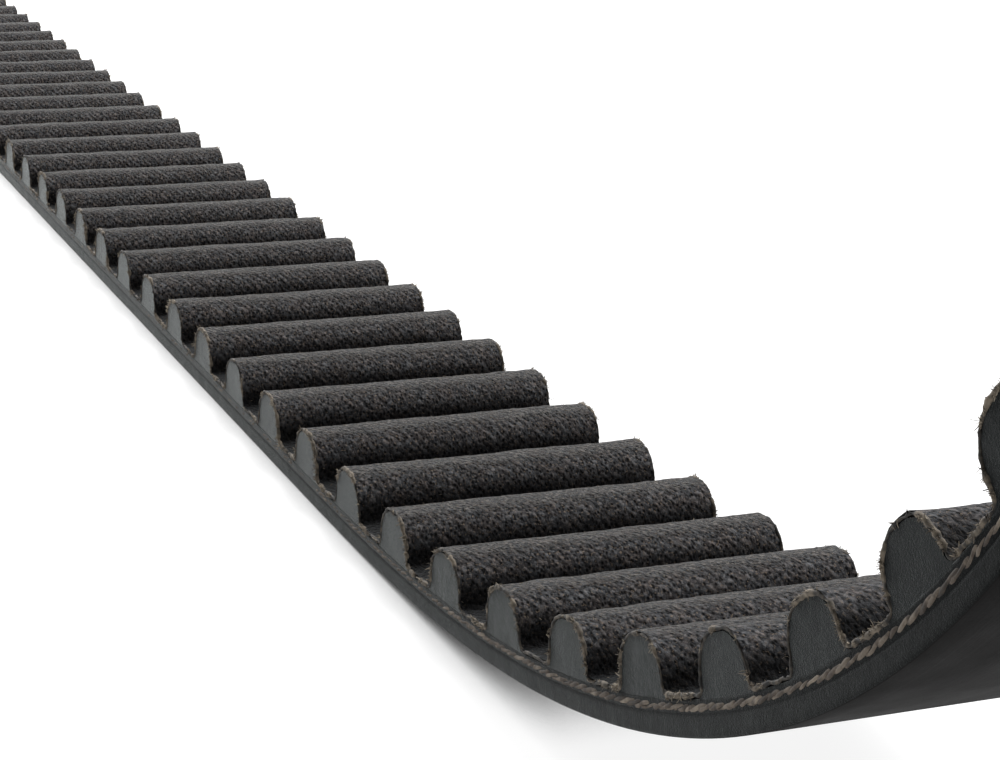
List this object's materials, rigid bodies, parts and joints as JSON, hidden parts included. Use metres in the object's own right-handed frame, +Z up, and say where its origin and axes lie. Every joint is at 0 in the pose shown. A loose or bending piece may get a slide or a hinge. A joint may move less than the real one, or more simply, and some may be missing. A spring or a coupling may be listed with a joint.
{
  "type": "timing belt",
  "caption": "Endless toothed rubber belt: smooth back, glass cords, moulded rounded teeth under a woven cloth facing, resting on its back in a flat loop.",
  "frame": {"origin": "middle of the smooth back of the bottom run, at the lowest point of the belt", "axes": "+X along the bottom run, +Y across the width of the belt, +Z up from the surface the belt rests on"},
  "size_m": [0.5242, 0.022, 0.1046],
  "materials": {
    "backing_rubber": "matte",
    "tensile_cord": "matte",
    "tooth_rubber": "matte",
    "facing_cloth": "matte"
  },
  "bodies": {
    "bottom_centre": {"backing_01": "backing_rubber", "tensile_cords_01": "tensile_cord", "teeth_01": "tooth_rubber", "tooth_facing_01": "facing_cloth"},
    "right_1": {"backing_02": "backing_rubber", "tensile_cords_02": "tensile_cord", "teeth_02": "tooth_rubber", "tooth_facing_02": "facing_cloth"},
    "right_2": {"backing_03": "backing_rubber", "tensile_cords_03": "tensile_cord", "teeth_03": "tooth_rubber", "tooth_facing_03": "facing_cloth"},
    "right_3": {"backing_04": "backing_rubber", "tensile_cords_04": "tensile_cord", "teeth_04": "tooth_rubber", "tooth_facing_04": "facing_cloth"},
    "right_4": {"backing_05": "backing_rubber", "tensile_cords_05": "tensile_cord", "teeth_05": "tooth_rubber", "tooth_facing_05": "facing_cloth"},
    "right_5": {"backing_06": "backing_rubber", "tensile_cords_06": "tensile_cord", "teeth_06": "tooth_rubber", "tooth_facing_06": "facing_cloth"},
    "right_6": {"backing_07": "backing_rubber", "tensile_cords_07": "tensile_cord", "teeth_07": "tooth_rubber", "tooth_facing_07": "facing_cloth"},
    "right_7": {"backing_08": "backing_rubber", "tensile_cords_08": "tensile_cord", "teeth_08": "tooth_rubber", "tooth_facing_08": "facing_cloth"},
    "left_1": {"backing_09": "backing_rubber", "tensile_cords_09": "tensile_cord", "teeth_09": "tooth_rubber", "tooth_facing_09": "facing_cloth"},
    "left_2": {"backing_10": "backing_rubber", "tensile_cords_10": "tensile_cord", "teeth_10": "tooth_rubber", "tooth_facing_10": "facing_cloth"},
    "left_3": {"backing_11": "backing_rubber", "tensile_cords_11": "tensile_cord", "teeth_11": "tooth_rubber", "tooth_facing_11": "facing_cloth"},
    "left_4": {"backing_12": "backing_rubber", "tensile_cords_12": "tensile_cord", "teeth_12": "tooth_rubber", "tooth_facing_12": "facing_cloth"},
    "left_5": {"backing_13": "backing_rubber", "tensile_cords_13": "tensile_cord", "teeth_13": "tooth_rubber", "tooth_facing_13": "facing_cloth"},
    "left_6": {"backing_14": "backing_rubber", "tensile_cords_14": "tensile_cord", "teeth_14": "tooth_rubber", "tooth_facing_14": "facing_cloth"},
    "left_7": {"backing_15": "backing_rubber", "tensile_cords_15": "tensile_cord", "teeth_15": "tooth_rubber", "tooth_facing_15": "facing_cloth"}
  },
  "joints": [
    {"name": "right_run_low_inner", "type": "hinge", "parent": "bottom_centre", "child": "right_1", "pos_m": [0.04763, 0, 0.00145], "axis": [0, -1, 0], "range_deg": [0, 8], "stiffness_Nm_per_rad": 0.05},
    {"name": "right_run_low_outer", "type": "hinge", "parent": "right_1", "child": "right_2", "pos_m": [0.12383, 0, 0.00145], "axis": [0, -1, 0], "range_deg": [0, 8]},
    {"name": "right_shoulder_low", "type": "hinge", "parent": "right_2", "child": "right_3", "pos_m": [0.19997, 0, 0.00292], "axis": [0, -1, 0], "range_deg": [-8, 0]},
    {"name": "right_apex", "type": "hinge", "parent": "right_3", "child": "right_4", "pos_m": [0.26069, 0, 0.05231], "axis": [0, -1, 0], "range_deg": [-16, 0]},
    {"name": "right_shoulder_high", "type": "hinge", "parent": "right_4", "child": "right_5", "pos_m": [0.19997, 0, 0.10171], "axis": [0, -1, 0], "range_deg": [-8, 0]},
    {"name": "right_run_high_outer", "type": "hinge", "parent": "right_5", "child": "right_6", "pos_m": [0.12383, 0, 0.10318], "axis": [0, -1, 0], "range_deg": [0, 8]},
    {"name": "right_run_high_inner", "type": "hinge", "parent": "right_6", "child": "right_7", "pos_m": [0.04763, 0, 0.10318], "axis": [0, -1, 0], "range_deg": [0, 8]},
    {"name": "left_run_low_inner", "type": "hinge", "parent": "bottom_centre", "child": "left_1", "pos_m": [-0.04763, 0, 0.00145], "axis": [0, 1, 0], "range_deg": [0, 8]},
    {"name": "left_run_low_outer", "type": "hinge", "parent": "left_1", "child": "left_2", "pos_m": [-0.12383, 0, 0.00145], "axis": [0, 1, 0], "range_deg": [0, 8]},
    {"name": "left_shoulder_low", "type": "hinge", "parent": "left_2", "child": "left_3", "pos_m": [-0.19997, 0, 0.00292], "axis": [0, 1, 0], "range_deg": [-8, 0]},
    {"name": "left_apex", "type": "hinge", "parent": "left_3", "child": "left_4", "pos_m": [-0.26069, 0, 0.05231], "axis": [0, 1, 0], "range_deg": [-16, 0]},
    {"name": "left_shoulder_high", "type": "hinge", "parent": "left_4", "child": "left_5", "pos_m": [-0.19997, 0, 0.10171], "axis": [0, 1, 0], "range_deg": [-8, 0]},
    {"name": "left_run_high_outer", "type": "hinge", "parent": "left_5", "child": "left_6", "pos_m": [-0.12383, 0, 0.10318], "axis": [0, 1, 0], "range_deg": [0, 8]},
    {"name": "left_run_high_inner", "type": "hinge", "parent": "left_6", "child": "left_7", "pos_m": [-0.04763, 0, 0.10318], "axis": [0, 1, 0], "range_deg": [0, 8]}
  ],
  "couplings": [
    {"joint": "right_run_low_outer", "follows": "right_run_low_inner", "ratio": 1},
    {"joint": "right_shoulder_low", "follows": "right_run_low_inner", "ratio": -1},
    {"joint": "right_apex", "follows": "right_run_low_inner", "ratio": -2},
    {"joint": "right_shoulder_high", "follows": "right_run_low_inner", "ratio": -1},
    {"joint": "right_run_high_outer", "follows": "right_run_low_inner", "ratio": 1},
    {"joint": "right_run_high_inner", "follows": "right_run_low_inner", "ratio": 1},
    {"joint": "left_run_low_inner", "follows": "right_run_low_inner", "ratio": 1},
    {"joint": "left_run_low_outer", "follows": "right_run_low_inner", "ratio": 1},
    {"joint": "left_shoulder_low", "follows": "right_run_low_inner", "ratio": -1},
    {"joint": "left_apex", "follows": "right_run_low_inner", "ratio": -2},
    {"joint": "left_shoulder_high", "follows": "right_run_low_inner", "ratio": -1},
    {"joint": "left_run_high_outer", "follows": "right_run_low_inner", "ratio": 1},
    {"joint": "left_run_high_inner", "follows": "right_run_low_inner", "ratio": 1}
  ]
}
